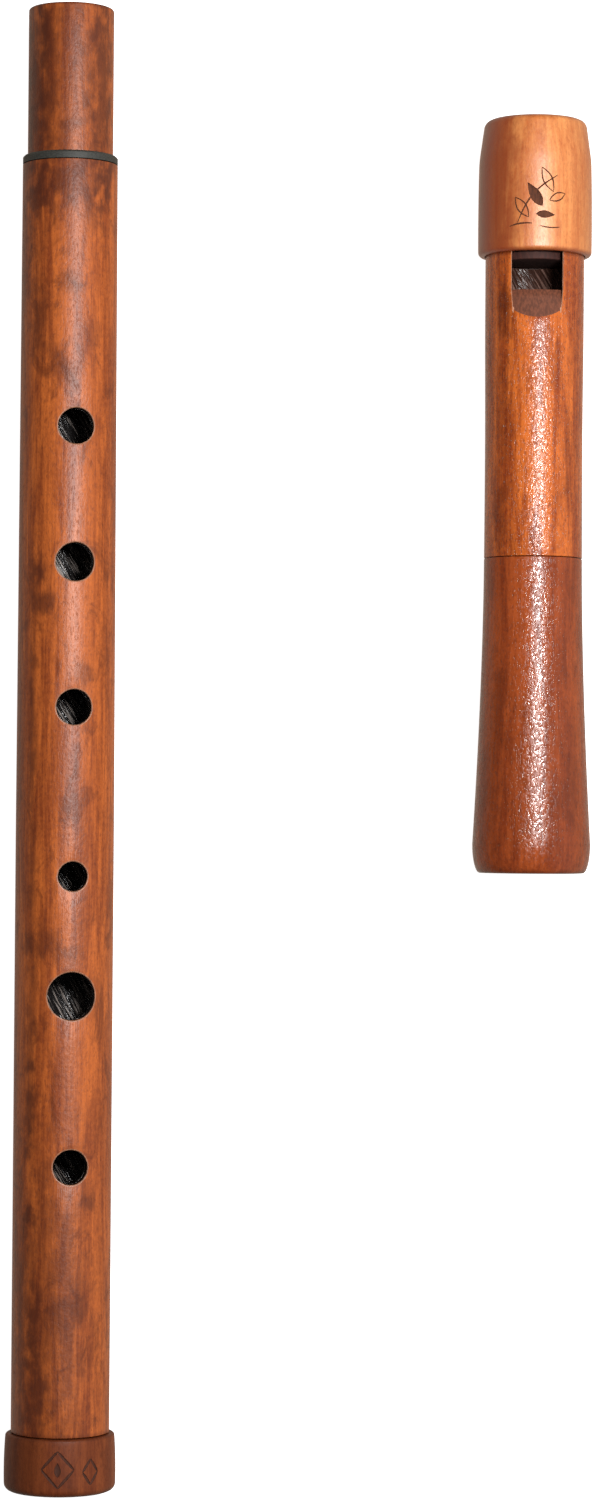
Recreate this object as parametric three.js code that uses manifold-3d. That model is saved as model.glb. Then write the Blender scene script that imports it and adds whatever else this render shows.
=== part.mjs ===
// A low whistle in F, turned from wood in two pieces and laid out flat for packing:
// the body with its six finger holes on the left, the head with its window on the right.
// Millimetres, +Z up. Both axes lie along Y, with the tenon and the blowing end towards +Y.
// The origin is on the table, under the middle of the layout.

import * as THREE from 'three';
import { mergeVertices } from 'three/addons/utils/BufferGeometryUtils.js';
import Module from 'manifold-3d';

const wasm = await Module();
wasm.setup();

// Layout
const AXIS_SPACING = 110.7;
const MOUTH_Y = -29.1; // the head's socket mouth, from the middle of the body
const FACETS = 54; // round every turned piece
const BODY_ROLL = 2 / FACETS * 360; // degrees: two facets, so that turned edges stay in step

// Fits
const GLUE = 0.15; // radial gap between two turned pieces
const BUTT = 0.2; // gap where two pieces meet end to end

// Bore, liners and body
const BORE_R = 8;
const LINER_WALL = 0.7;
const WOOD_BORE_R = BORE_R + LINER_WALL + GLUE;
const BODY_LENGTH = 351.5;
const SHOULDER_Y = 314.2;
const BODY_R = 11.65;
const SHOULDER_R = 11.29;
const TAPER_START_Y = 156;
const TENON_R = 10.145;
const TENON_CHAMFER = 0.6;
const FINGER_HOLES = [
  { y: 77.0, diameter: 8.2 },
  { y: 117.1, diameter: 11.3 },
  { y: 145.2, diameter: 7.0 },
  { y: 185.0, diameter: 8.4 },
  { y: 219.2, diameter: 9.1 },
  { y: 251.2, diameter: 8.5 },
];
const HOLE_FACETS = 24;

// Foot ferrule and shoulder ring
const FERRULE_LENGTH = 13.5;
const FERRULE_R = 13.22;
const FERRULE_TOP_R = 12.85;
const FERRULE_ROUND = 1.7;
const RING_LENGTH = 2.1;
const RING_BEVEL = 0.4;

// Head: lengths along its axis, from the mouth of the socket
const HEAD_LENGTH = 178.8;
const BARREL_LENGTH = 74.5;
const FLARE_R = 13.99;
const SEAM_R = 11.63;
const WINDOW_R = 11.72; // outside of the head tube at the window
const SOCKET_DEPTH = 36.8;
const CORK_WALL = 0.75;
const SPIGOT_START_Y = 50;
const SPIGOT_R = 9.85;
const CAP_START_Y = 146.4;
const CAP_TOP_PLATE = 4.8;
const CAP_R = 13.51;

// Voicing
const BLADE_Y = 137.6;
const BLADE_R = 9.2; // height of the blade's edge above the axis
const WINDOW_WIDTH = 12;
const RAMP_SLOPE = THREE.MathUtils.degToRad(21);
const RAMP_CROWN_R = 20; // the ramp is slightly arched across
const WINDWAY_ROOF_R = 10.2;
const BLOCK_R = WOOD_BORE_R - 0.1;
const BLOCK_START_Y = 144.9; // it stands a little into the window, past the cap's edge

const CORK_INNER_R = TENON_R + GLUE;
const SOCKET_R = CORK_INNER_R + CORK_WALL + GLUE;
const PLATE_Y = HEAD_LENGTH - CAP_TOP_PLATE;
const LINER_R = BORE_R + LINER_WALL;

function finish(color, roughness) {
  return new THREE.MeshStandardMaterial({ color, roughness, metalness: 0 });
}

// Revolves an outline of [radius, y] pairs about Y. The outside runs up and the inside down.
function turned(outline) {
  const points = outline.map(([radius, y]) => new THREE.Vector2(radius, y));
  return new THREE.LatheGeometry(points, FACETS);
}

function turnedRing(outside, inside) {
  const outline = [...outside, ...inside];
  return turned([...outline, outline[0]]);
}

function sleeve(innerR, outerR, startY, endY) {
  return turnedRing([[outerR, startY], [outerR, endY]], [[innerR, endY], [innerR, startY]]);
}

function quarterRound(centreR, centreY, radius, fromDegrees, toDegrees, steps) {
  const points = [];
  for (let i = 0; i <= steps; i += 1) {
    const angle = THREE.MathUtils.degToRad(fromDegrees + (toDegrees - fromDegrees) * i / steps);
    points.push([centreR + radius * Math.cos(angle), centreY + radius * Math.sin(angle)]);
  }
  return points;
}

function toSolid(geometry) {
  const bare = geometry.clone();
  bare.deleteAttribute('normal');
  bare.deleteAttribute('uv');
  const merged = mergeVertices(bare);
  const triVerts = [];
  for (let i = 0; i < merged.index.count; i += 3) {
    const [a, b, c] = [0, 1, 2].map((corner) => merged.index.getX(i + corner));
    if (a !== b && b !== c && c !== a) {
      triVerts.push(a, b, c);
    }
  }
  return new wasm.Manifold(new wasm.Mesh({
    numProp: 3,
    vertProperties: new Float32Array(merged.attributes.position.array),
    triVerts: new Uint32Array(triVerts),
  }));
}

function toGeometry(solid) {
  const mesh = solid.getMesh();
  const geometry = new THREE.BufferGeometry();
  geometry.setAttribute('position', new THREE.BufferAttribute(mesh.vertProperties, 3));
  geometry.setIndex(new THREE.BufferAttribute(mesh.triVerts, 1));
  geometry.computeVertexNormals();
  return geometry;
}

function cut(geometry, cutters) {
  let solid = toSolid(geometry);
  for (const cutter of cutters) {
    solid = solid.subtract(cutter);
  }
  return toGeometry(solid);
}

function block(lowX, highX, lowY, highY, lowZ, highZ) {
  const geometry = new THREE.BoxGeometry(highX - lowX, highY - lowY, highZ - lowZ);
  geometry.translate((lowX + highX) / 2, (lowY + highY) / 2, (lowZ + highZ) / 2);
  return toSolid(geometry);
}

// Drills from the bore out through the upper wall.
function fingerHoleCutters() {
  const reach = BODY_R + 3;
  const start = BORE_R / 4;
  return FINGER_HOLES.map(({ y, diameter }) => {
    const drill = new THREE.CylinderGeometry(diameter / 2, diameter / 2, reach - start, HOLE_FACETS);
    drill.rotateX(Math.PI / 2);
    drill.translate(0, y, (reach + start) / 2);
    return toSolid(drill);
  });
}

function windowCutter() {
  const half = WINDOW_WIDTH / 2;
  return block(-half, half, BLADE_Y, CAP_START_Y, 0, CAP_R + 2);
}

// A bar with an arched underside, laid along the slope of the ramp from the blade upwards.
function rampCutter() {
  const half = WINDOW_WIDTH / 2;
  const edgeAngle = Math.asin(half / RAMP_CROWN_R);
  const height = 8;
  const lead = 1;
  const section = new THREE.Shape();
  section.moveTo(half, height);
  section.lineTo(-half, height);
  section.absarc(0, -RAMP_CROWN_R, RAMP_CROWN_R, Math.PI / 2 + edgeAngle, Math.PI / 2 - edgeAngle, true);
  const bar = new THREE.ExtrudeGeometry(section, { depth: 16, bevelEnabled: false, curveSegments: 8 });
  bar.translate(0, 0, -lead);
  const normal = new THREE.Vector3(0, Math.sin(RAMP_SLOPE), Math.cos(RAMP_SLOPE));
  const uphill = new THREE.Vector3(0, -Math.cos(RAMP_SLOPE), Math.sin(RAMP_SLOPE));
  bar.applyMatrix4(new THREE.Matrix4().makeBasis(new THREE.Vector3(1, 0, 0), normal, uphill));
  bar.translate(0, BLADE_Y, BLADE_R);
  return toSolid(bar);
}

// The windway is an arched slot in the wall over the block, as wide as the window.
function windwayCutter(floorR) {
  const half = WINDOW_WIDTH / 2;
  const arch = toSolid(sleeve(floorR, WINDWAY_ROOF_R, BLOCK_START_Y, HEAD_LENGTH + 2));
  return arch.intersect(block(-half, half, 0, HEAD_LENGTH * 2, BORE_R / 2, CAP_R));
}

function bodyTube() {
  const outside = [
    [TENON_R, BUTT],
    [TENON_R, FERRULE_LENGTH + BUTT],
    [BODY_R, FERRULE_LENGTH + BUTT],
    [BODY_R, TAPER_START_Y],
    [SHOULDER_R, SHOULDER_Y],
    [TENON_R, SHOULDER_Y],
    [TENON_R, BODY_LENGTH - TENON_CHAMFER],
    [TENON_R - TENON_CHAMFER, BODY_LENGTH],
  ];
  const inside = [[WOOD_BORE_R, BODY_LENGTH], [WOOD_BORE_R, BUTT]];
  return cut(turnedRing(outside, inside), fingerHoleCutters());
}

function bodyLiner() {
  return cut(sleeve(BORE_R, LINER_R, BUTT, BODY_LENGTH - BUTT), fingerHoleCutters());
}

function footFerrule() {
  const outside = [
    ...quarterRound(FERRULE_R - FERRULE_ROUND, FERRULE_ROUND, FERRULE_ROUND, -90, 0, 4),
    [FERRULE_R, FERRULE_LENGTH * 0.35],
    [FERRULE_TOP_R + 0.1, FERRULE_LENGTH - 1.6],
    ...quarterRound(FERRULE_TOP_R - 0.7, FERRULE_LENGTH - 0.7, 0.7, 10, 90, 2),
  ];
  const innerR = TENON_R + GLUE;
  return turnedRing(outside, [[innerR, FERRULE_LENGTH], [innerR, 0]]);
}

function shoulderRing() {
  const startY = SHOULDER_Y + BUTT;
  const endY = SHOULDER_Y + RING_LENGTH;
  const innerR = TENON_R + GLUE;
  const outside = [[SHOULDER_R, startY], [SHOULDER_R, endY - RING_BEVEL], [innerR + 0.2, endY]];
  return turnedRing(outside, [[innerR, endY], [innerR, startY]]);
}

function socketBarrel() {
  const outside = [
    [12.2, 0],
    [13.1, 1],
    [13.75, 3],
    [FLARE_R, 6.8],
    [13.4, 19],
    [12.46, 38],
    [11.86, 57],
    [SEAM_R, BARREL_LENGTH],
  ];
  const counterboreR = SPIGOT_R + GLUE;
  const inside = [
    [counterboreR, BARREL_LENGTH],
    [counterboreR, SPIGOT_START_Y],
    [WOOD_BORE_R, SPIGOT_START_Y],
    [WOOD_BORE_R, SOCKET_DEPTH],
    [SOCKET_R, SOCKET_DEPTH],
    [SOCKET_R, 0],
  ];
  return turnedRing(outside, inside);
}

function socketCork() {
  return sleeve(CORK_INNER_R, CORK_INNER_R + CORK_WALL, BUTT, SOCKET_DEPTH - BUTT);
}

function headTube() {
  const endY = PLATE_Y - BUTT;
  const outside = [
    [SPIGOT_R, SPIGOT_START_Y + BUTT],
    [SPIGOT_R, BARREL_LENGTH + BUTT],
    [SEAM_R, BARREL_LENGTH + BUTT],
    [SEAM_R - 0.07, 105],
    [WINDOW_R, 131],
    [WINDOW_R, endY],
  ];
  const inside = [[WOOD_BORE_R, endY], [WOOD_BORE_R, SPIGOT_START_Y + BUTT]];
  const cutters = [windowCutter(), rampCutter(), windwayCutter(BORE_R)];
  return cut(turnedRing(outside, inside), cutters);
}

function headLiner() {
  return cut(sleeve(BORE_R, LINER_R, SOCKET_DEPTH + BUTT, BLOCK_START_Y - BUTT), [windowCutter()]);
}

function fippleBlock() {
  const endY = PLATE_Y - BUTT;
  return turned([[0, BLOCK_START_Y], [BLOCK_R, BLOCK_START_Y], [BLOCK_R, endY], [0, endY]]);
}

function windwayCap() {
  const innerR = WINDOW_R + GLUE;
  const outside = [
    [12.5, CAP_START_Y],
    [13.25, CAP_START_Y + 0.8],
    [CAP_R, CAP_START_Y + 6.7],
    [13.4, CAP_START_Y + 18],
    [13.2, CAP_START_Y + 23.7],
    [12.3, HEAD_LENGTH - 2.3],
    [11.85, HEAD_LENGTH - 0.6],
    [10.9, HEAD_LENGTH],
  ];
  const inside = [[0, HEAD_LENGTH], [0, PLATE_Y], [innerR, PLATE_Y], [innerR, CAP_START_Y]];
  return cut(turnedRing(outside, inside), [windwayCutter(BLOCK_R)]);
}

function mesh(name, geometry, material) {
  const piece = new THREE.Mesh(geometry, material);
  piece.name = name;
  return piece;
}

const redBrownWood = finish('#8a4526', 0.45);
const darkRedWood = finish('#7d3b22', 0.42);
const orangeWood = finish('#9a4f28', 0.4);
const capWood = finish('#c07440', 0.5);
const blackRing = finish('#232423', 0.6);
const blackFibre = finish('#1a1a1c', 0.3);
const cork = finish('#b58a5e', 0.9);

const halfWidth = (AXIS_SPACING + FERRULE_R + FLARE_R) / 2;

const body = new THREE.Group();
body.position.set(FERRULE_R - halfWidth, -BODY_LENGTH / 2, FERRULE_R);
body.rotation.y = THREE.MathUtils.degToRad(BODY_ROLL);
body.add(
  mesh('body_tube', bodyTube(), redBrownWood),
  mesh('body_liner', bodyLiner(), blackFibre),
  mesh('foot_ferrule', footFerrule(), redBrownWood.clone()),
  mesh('shoulder_ring', shoulderRing(), blackRing),
);

const head = new THREE.Group();
head.position.set(halfWidth - FLARE_R, MOUTH_Y, FLARE_R);
head.add(
  mesh('socket_barrel', socketBarrel(), darkRedWood),
  mesh('socket_cork', socketCork(), cork),
  mesh('head_tube', headTube(), orangeWood),
  mesh('head_liner', headLiner(), blackFibre.clone()),
  mesh('fipple_block', fippleBlock(), redBrownWood.clone()),
  mesh('windway_cap', windwayCap(), capWood),
);

const whistle = new THREE.Group();
whistle.add(body, head);

export default whistle;
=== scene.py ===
"""Turns and finishes a wooden low whistle in two pieces, laid out on a pale table.

Lengths inside the functions are millimetres along each piece's own axis, which is Y.
`finished` moves a piece to its place in the frame and turns it into metres.
"""
import math

import bmesh
import bpy
from mathutils import Euler, Matrix, Vector


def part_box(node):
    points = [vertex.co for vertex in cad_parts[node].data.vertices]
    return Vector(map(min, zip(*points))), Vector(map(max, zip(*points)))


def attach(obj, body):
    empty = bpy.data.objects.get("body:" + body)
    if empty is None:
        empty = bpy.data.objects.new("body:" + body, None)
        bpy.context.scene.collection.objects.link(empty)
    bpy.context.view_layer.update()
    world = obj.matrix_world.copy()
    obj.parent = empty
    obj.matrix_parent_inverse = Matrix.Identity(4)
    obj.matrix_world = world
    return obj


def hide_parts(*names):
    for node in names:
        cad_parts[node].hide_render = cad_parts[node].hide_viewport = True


bl_info = {
    "name": "Wooden Low Whistle",
    "version": (1, 0, 0),
    "blender": (4, 5, 0),
    "location": "View3D > Sidebar > Whistle",
    "description": "Builds a two-piece wooden low whistle with its table and light",
    "category": "Add Mesh",
}

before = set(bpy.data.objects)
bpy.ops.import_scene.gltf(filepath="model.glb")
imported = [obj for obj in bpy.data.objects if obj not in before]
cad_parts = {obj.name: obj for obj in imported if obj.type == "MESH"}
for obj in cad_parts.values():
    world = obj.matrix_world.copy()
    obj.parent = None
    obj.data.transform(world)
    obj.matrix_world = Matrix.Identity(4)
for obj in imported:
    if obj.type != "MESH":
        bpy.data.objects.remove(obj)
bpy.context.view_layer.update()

MM = 0.001
TURN_STEPS = 160
ROUND_STEPS = 5
SMOOTH_ANGLE = math.radians(32)
MERGE_DISTANCE = 1e-4
GROOVE_SEGMENTS = 12
DRILL_SEGMENTS = 64
GLUE = 0.15
BUTT = 0.2
CAD_FACETS = 54
BODY_ROLL = math.radians(2 / CAD_FACETS * 360)

# Body, from its foot
SHOULDER_Y = 314.2
TAPER_START_Y = 156.0
FINGER_HOLES = (  # place along the body, diameter
    (77.0, 8.2), (117.1, 11.3), (145.2, 7.0), (185.0, 8.4), (219.2, 9.1), (251.2, 8.5))
HOLE_EASE = 0.32
FERRULE_BELLY = 0.0042

# Head, from the mouth of its socket
SOCKET_DEPTH = 36.8
CORK_WALL = 0.75
LIP_LENGTH = 6.8
LIP_DEPTH = 1.75
FLARE_POWER = 1.68
SPIGOT_START_Y = 50.0
SPIGOT_R = 9.85
BLADE_Y = 137.6
RAMP_TOP_Y = 130.8
WINDOW_R = 11.72
BLOCK_START_Y = 144.9
WINDWAY_ROOF_R = 10.2
CAP_TOP_PLATE = 4.8
CAP_BELLY = 0.00075

# Material slots of a carved piece
WOOD_SLOT, WALL_SLOT, RIM_SLOT, RAMP_SLOT = range(4)
SLOT_COUNT = 4


def middle(node, axis):
    low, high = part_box(node)
    return (low[axis] + high[axis]) / 2


def length_of(node):
    """A CAD node's length along Y, in millimetres."""
    low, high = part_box(node)
    return (high.y - low.y) / MM


def axis_place(node):
    """The start of a turned piece's own axis, in the frame."""
    return Matrix.Translation((middle(node, 0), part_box(node)[0].y, middle(node, 2)))


BODY_PLACE = axis_place("foot_ferrule") @ Matrix.Rotation(BODY_ROLL, 4, "Y")
HEAD_PLACE = axis_place("socket_barrel")
FERRULE_LENGTH = length_of("foot_ferrule")
BARREL_LENGTH = length_of("socket_barrel")
CAP_START_Y = (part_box("windway_cap")[0].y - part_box("socket_barrel")[0].y) / MM
BODY_LENGTH = (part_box("body_tube")[1].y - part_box("foot_ferrule")[0].y) / MM
HEAD_LENGTH = (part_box("windway_cap")[1].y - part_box("socket_barrel")[0].y) / MM
PLATE_Y = HEAD_LENGTH - CAP_TOP_PLATE


# ---------------------------------------------------------------- settings


def colour(name, description, default):
    return bpy.props.FloatVectorProperty(
        name=name, description=description, subtype="COLOR", default=default, min=0, max=1)


def size(name, description, default):
    """A length in millimetres."""
    return bpy.props.FloatProperty(name=name, description=description, default=default, min=0)


class WhistleSizes(bpy.types.PropertyGroup):
    bore: size("Bore", "Diameter of the air column, in millimetres", 16.0)
    liner_wall: size("Liner Wall", "Thickness of the wound liner, in millimetres", 0.7)
    tenon: size("Tenon", "Diameter of the tenon, in millimetres", 20.29)
    tube: size("Tube", "Diameter of the body at its foot, in millimetres", 23.3)
    shoulder: size("Shoulder", "Diameter of the body at its shoulder, in millimetres", 22.58)
    ferrule: size("Ferrule", "Largest diameter of the foot ferrule, in millimetres", 26.44)
    flare: size("Flare", "Largest diameter of the socket barrel, in millimetres", 27.98)
    seam: size("Seam", "Diameter where head tube and barrel meet, in millimetres", 23.26)
    cap: size("Cap", "Largest diameter of the cap, in millimetres", 27.04)
    window: size("Window", "Width of the window at the blade, in millimetres", 12.0)


class WhistleFinish(bpy.types.PropertyGroup):
    body_pale: colour("Body Pale", "Pale streaks of the stained body", (0.62, 0.148, 0.025))
    body_dark: colour("Body Dark", "Dark streaks of the stained body", (0.22, 0.040, 0.008))
    ferrule_pale: colour("Ferrule Pale", "Pale streaks of the ferrule", (0.265, 0.064, 0.017))
    ferrule_dark: colour("Ferrule Dark", "Dark streaks of the ferrule", (0.135, 0.027, 0.0075))
    head_pale: colour("Head Pale", "Pale streaks of the head tube", (0.80, 0.188, 0.028))
    head_dark: colour("Head Dark", "Dark streaks of the head tube", (0.24, 0.033, 0.006))
    barrel_pale: colour("Barrel Pale", "Pale streaks of the barrel", (0.42, 0.080, 0.015))
    barrel_dark: colour("Barrel Dark", "Dark streaks of the barrel", (0.20, 0.031, 0.006))
    cap_pale: colour("Cap Pale", "Pale streaks of the cap", (0.95, 0.365, 0.102))
    cap_dark: colour("Cap Dark", "Dark streaks of the cap", (0.62, 0.155, 0.027))


class WhistleStage(bpy.types.PropertyGroup):
    lens: bpy.props.FloatProperty(
        name="Lens", description="Focal length", default=94.75, unit="CAMERA")
    height: bpy.props.FloatProperty(
        name="Camera Height", description="Camera above the table", default=0.951,
        unit="LENGTH")
    key: bpy.props.FloatProperty(
        name="Key Light", description="Power of the soft box", default=3.6, unit="POWER")
    side: bpy.props.FloatProperty(
        name="Side Fill", description="Brightness of the room's right side", default=0.5, min=0)


def sizes():
    return bpy.context.scene.whistle_sizes


def tints():
    return bpy.context.scene.whistle_finish


def bore_r():
    return sizes().bore / 2


def liner_r():
    return bore_r() + sizes().liner_wall


def wood_bore_r():
    return liner_r() + GLUE


def tenon_r():
    return sizes().tenon / 2


def body_r(y):
    """Radius of the body's surface: a cylinder that tapers towards the shoulder."""
    along = max(0.0, (y - TAPER_START_Y) / (SHOULDER_Y - TAPER_START_Y))
    return (sizes().tube + (sizes().shoulder - sizes().tube) * along) / 2


# ---------------------------------------------------------------- turning and carving


def rounded(corners):
    """An outline from (radius, y, fillet) corners, each fillet drawn as an arc."""
    points = []
    for i, (r, y, fillet) in enumerate(corners):
        corner = Vector((r, y))
        if not fillet:
            points.append(corner)
            continue
        back = (Vector(corners[i - 1][:2]) - corner).normalized()
        onward = (Vector(corners[(i + 1) % len(corners)][:2]) - corner).normalized()
        half = back.angle(onward) / 2
        centre = corner + (back + onward).normalized() * fillet / math.sin(half)
        reach = fillet / math.tan(half)
        first = corner + back * reach - centre
        last = corner + onward * reach - centre
        for step in range(ROUND_STEPS + 1):
            points.append(centre + fillet * first.slerp(last, step / ROUND_STEPS))
    return points


def turned(outline, closed=True):
    """A bmesh turned about Y. An open outline starts and ends on the axis."""
    bm = bmesh.new()
    verts = [bm.verts.new((r, y, 0)) for r, y in outline]
    edges = [bm.edges.new(pair) for pair in zip(verts, verts[1:])]
    if closed:
        edges.append(bm.edges.new((verts[-1], verts[0])))
    bmesh.ops.spin(
        bm, geom=verts + edges, cent=(0, 0, 0), axis=(0, 1, 0), angle=math.tau,
        steps=TURN_STEPS, use_merge=True)
    bmesh.ops.remove_doubles(bm, verts=bm.verts, dist=MERGE_DISTANCE)
    bmesh.ops.recalc_face_normals(bm, faces=bm.faces)
    return bm


def sleeve(inner_r, outer_r, start_y, end_y, ease=0.12):
    corners = [(inner_r, start_y, ease), (outer_r, start_y, ease)]
    corners += [(outer_r, y, 0) for y in stations(start_y, end_y, 12)]
    corners += [(outer_r, end_y, ease), (inner_r, end_y, ease)]
    return turned(rounded(corners))


def stations(start, end, spacing):
    """Evenly spaced places between two ends, without the ends."""
    count = max(1, round((end - start) / spacing))
    return [start + (end - start) * i / count for i in range(1, count)]


def slotted(bm, index):
    for face in bm.faces:
        face.material_index = index
    return bm


def boxed(low, high, slot):
    bm = bmesh.new()
    low, high = Vector(low), Vector(high)
    place = Matrix.Translation((low + high) / 2) @ Matrix.Diagonal((*(high - low), 1))
    bmesh.ops.create_cube(bm, size=1, matrix=place)
    return slotted(bm, slot)


def joined(parts):
    """Several bmeshes as one."""
    whole = bmesh.new()
    for part in parts:
        scratch = bpy.data.meshes.new("scratch")
        part.to_mesh(scratch)
        part.free()
        whole.from_mesh(scratch)
        bpy.data.meshes.remove(scratch)
    return whole


def scratch_object(bm, name):
    mesh = bpy.data.meshes.new(name)
    bm.to_mesh(mesh)
    bm.free()
    for _ in range(SLOT_COUNT):
        mesh.materials.append(None)
    obj = bpy.data.objects.new(name, mesh)
    bpy.context.scene.collection.objects.link(obj)
    return obj


def carved(bm, cutter, crossing=False):
    """The first bmesh with the second cut out of it. Cut walls keep the cutter's slots.

    Crossing is for a cutter whose own shells cross each other.
    """
    blank = scratch_object(bm, "blank")
    tool = scratch_object(cutter, "tool")
    cut = blank.modifiers.new("Cut", "BOOLEAN")
    cut.operation = "DIFFERENCE"
    cut.solver = "EXACT"
    cut.use_self = crossing
    cut.material_mode = "INDEX"
    cut.object = tool
    graph = bpy.context.evaluated_depsgraph_get()
    result = bmesh.new()
    result.from_object(blank, graph)
    for obj in (blank, tool):
        mesh = obj.data
        bpy.data.objects.remove(obj)
        bpy.data.meshes.remove(mesh)
    if not result.faces:
        raise RuntimeError("a cut left nothing of the piece")
    bmesh.ops.remove_doubles(result, verts=result.verts, dist=MERGE_DISTANCE)
    bmesh.ops.dissolve_degenerate(result, edges=result.edges, dist=MERGE_DISTANCE / 10)
    return result


def darkened_inside(bm, radius):
    """Gives the faces nearer the axis than a radius the dark wall material: painted shade inside
    the bore.
    """
    for face in bm.faces:
        centre = face.calc_center_median()
        if math.hypot(centre.x, centre.z) < radius:
            face.material_index = WALL_SLOT


def ring_of(bm, place, segments):
    """A unit circle in a place. Gives its vertices and its edges, in the same order each run."""
    verts = bmesh.ops.create_circle(
        bm, cap_ends=False, segments=segments, radius=1, matrix=place)["verts"]
    return verts, list(dict.fromkeys(edge for vert in verts for edge in vert.link_edges))


def bridged(bm, loops):
    """Joins loops of edges one after the other and closes both ends."""
    for lower, upper in zip(loops, loops[1:]):
        bmesh.ops.bridge_loops(bm, edges=lower + upper)
    for end in (loops[0], loops[-1]):
        bmesh.ops.holes_fill(bm, edges=end, sides=0)
    bmesh.ops.recalc_face_normals(bm, faces=bm.faces)
    return bm


def drill(y, diameter):
    """A drill through the body's upper wall. Its mouth is eased to follow the round surface."""
    surface_r = body_r(y)
    radius = diameter / 2
    mouth_r = radius + HOLE_EASE * 1.5
    profile = [(radius, -surface_r)]
    for degrees in (0, 30, 60, 90):
        turn = math.radians(degrees)
        profile.append((radius + HOLE_EASE * (1 - math.cos(turn)),
                        HOLE_EASE * (math.sin(turn) - 1)))
    profile += [(mouth_r, 0.3), (mouth_r, surface_r)]
    floor, ceiling = bore_r() / 4, surface_r + 1
    bm = bmesh.new()
    loops = []
    for ring_r, lift in profile:
        verts, edges = ring_of(bm, Matrix.Diagonal((ring_r, ring_r, 1, 1)), DRILL_SEGMENTS)
        for vert in verts:
            surface = math.sqrt(surface_r ** 2 - vert.co.x ** 2)
            height = min(max(surface + lift, floor), ceiling)
            vert.co = Vector((vert.co.x, vert.co.y + y, height))
        loops.append(edges)
    bridged(bm, loops)
    slotted(bm, RIM_SLOT)
    # The straight wall of each hole takes the near-black wall material, painted shade; the eased
    # mouth keeps the rim material.
    for face in bm.faces:
        if min(vert.co.z for vert in face.verts) < bore_r() / 2:
            face.material_index = WALL_SLOT
    return bm


def finger_drills():
    return joined([drill(y, diameter) for y, diameter in FINGER_HOLES])


def groove(path, half_widths, depth, surface):
    """A burnt groove cut into a turned surface. The path is in (round, along) millimetres."""
    finest = 0.02
    bm = bmesh.new()
    loops = []
    for i, ((u, v), half_width) in enumerate(zip(path, half_widths)):
        ahead = Vector(path[min(i + 1, len(path) - 1)]) - Vector(path[max(i - 1, 0)])
        radius = surface(v)
        angle = u / radius
        heading = math.atan2(ahead.x, ahead.y)
        place = (
            Matrix.Rotation(angle, 4, "Y")
            @ Matrix.Translation((0, v, radius))
            @ Matrix.Rotation(-heading, 4, "Z")
            @ Matrix.Rotation(math.radians(90), 4, "X")
            @ Matrix.Diagonal((max(half_width, finest), depth, 1, 1))
        )
        loops.append(ring_of(bm, place, GROOVE_SEGMENTS)[1])
    return slotted(bridged(bm, loops), WALL_SLOT)


def line(start, end, half_width, depth, bend=0.0):
    """A groove's path from start to end, bowed sideways by bend, tapering at both ends."""
    start, end = Vector(start), Vector(end)
    side = (end - start).orthogonal().normalized()
    steps = 10
    tip_share = 0.35
    path = []
    widths = []
    for i in range(steps + 1):
        t = i / steps
        path.append(start.lerp(end, t) + side * bend * math.sin(math.pi * t))
        belly = math.sin(math.pi * t) ** 0.5
        widths.append(half_width * (tip_share + (1 - tip_share) * belly))
    return path, widths, depth


def leaf(base, tip, half_width):
    """A filled leaf, widest below its middle."""
    base, tip = Vector(base), Vector(tip)
    steps = 12
    depth = 0.3
    path = [base.lerp(tip, i / steps) for i in range(steps + 1)]
    widths = [half_width * math.sin(math.pi * (i / steps) ** 0.8) for i in range(steps + 1)]
    return path, widths, depth


def finished(bm, node, place, body, materials):
    """Makes the piece that stands for a CAD node and puts it on its body."""
    bm.transform(place @ Matrix.Scale(MM, 4))
    mesh = bpy.data.meshes.new(node + "_fine")
    bm.to_mesh(mesh)
    bm.free()
    for material in materials:
        mesh.materials.append(material)
    mesh.shade_smooth()
    mesh.set_sharp_from_angle(angle=SMOOTH_ANGLE)
    piece = bpy.data.objects.new(node + "_fine", mesh)
    bpy.context.scene.collection.objects.link(piece)
    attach(piece, body)
    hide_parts(node)
    return piece


# ---------------------------------------------------------------- shader groups


class Graph:
    """A short way to add shader nodes and join them."""

    def __init__(self, tree):
        self.tree = tree

    def feed(self, socket, value):
        if isinstance(value, bpy.types.NodeSocket):
            self.tree.links.new(value, socket)
        else:
            socket.default_value = value

    def add(self, kind, inputs=None, **settings):
        node = self.tree.nodes.new("ShaderNode" + kind)
        for name, value in settings.items():
            setattr(node, name, value)
        for key, value in (inputs or {}).items():
            self.feed(node.inputs[key], value)
        return node

    def math(self, operation, *values):
        return self.add("Math", dict(enumerate(values)), operation=operation).outputs[0]

    def weighted(self, *parts):
        """The sum of (value, weight) parts."""
        total = None
        for value, weight in parts:
            share = self.math("MULTIPLY", value, weight)
            total = share if total is None else self.math("ADD", total, share)
        return total

    def stretched(self, vector, scale, seed, turn=(0, 0, 0)):
        """The vector moved aside by a seed, scaled along each axis, and turned."""
        aside = self.add("CombineXYZ", {0: seed, 1: self.math("MULTIPLY", seed, 1.7), 2: seed})
        moved = self.add("VectorMath", {0: vector, 1: aside.outputs[0]}, operation="ADD")
        inputs = {"Vector": moved.outputs[0], "Scale": scale, "Rotation": turn}
        return self.add("Mapping", inputs).outputs[0]

    def noise(self, vector, detail, roughness, distortion=0.0):
        inputs = {"Vector": vector, "Scale": 1.0, "Detail": detail, "Roughness": roughness,
                  "Distortion": distortion}
        return self.add("TexNoise", inputs).outputs["Fac"]

    def band(self, value, low, high, out_low=0.0, out_high=1.0):
        inputs = {"Value": value, "From Min": low, "From Max": high, "To Min": out_low,
                  "To Max": out_high}
        return self.add("MapRange", inputs, interpolation_type="SMOOTHSTEP").outputs[0]

    def mix(self, factor, first, second, blend="MIX"):
        node = self.add("Mix", {"Factor": factor}, data_type="RGBA", blend_type=blend)
        self.feed(node.inputs[6], first)
        self.feed(node.inputs[7], second)
        return node.outputs[2]


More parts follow.
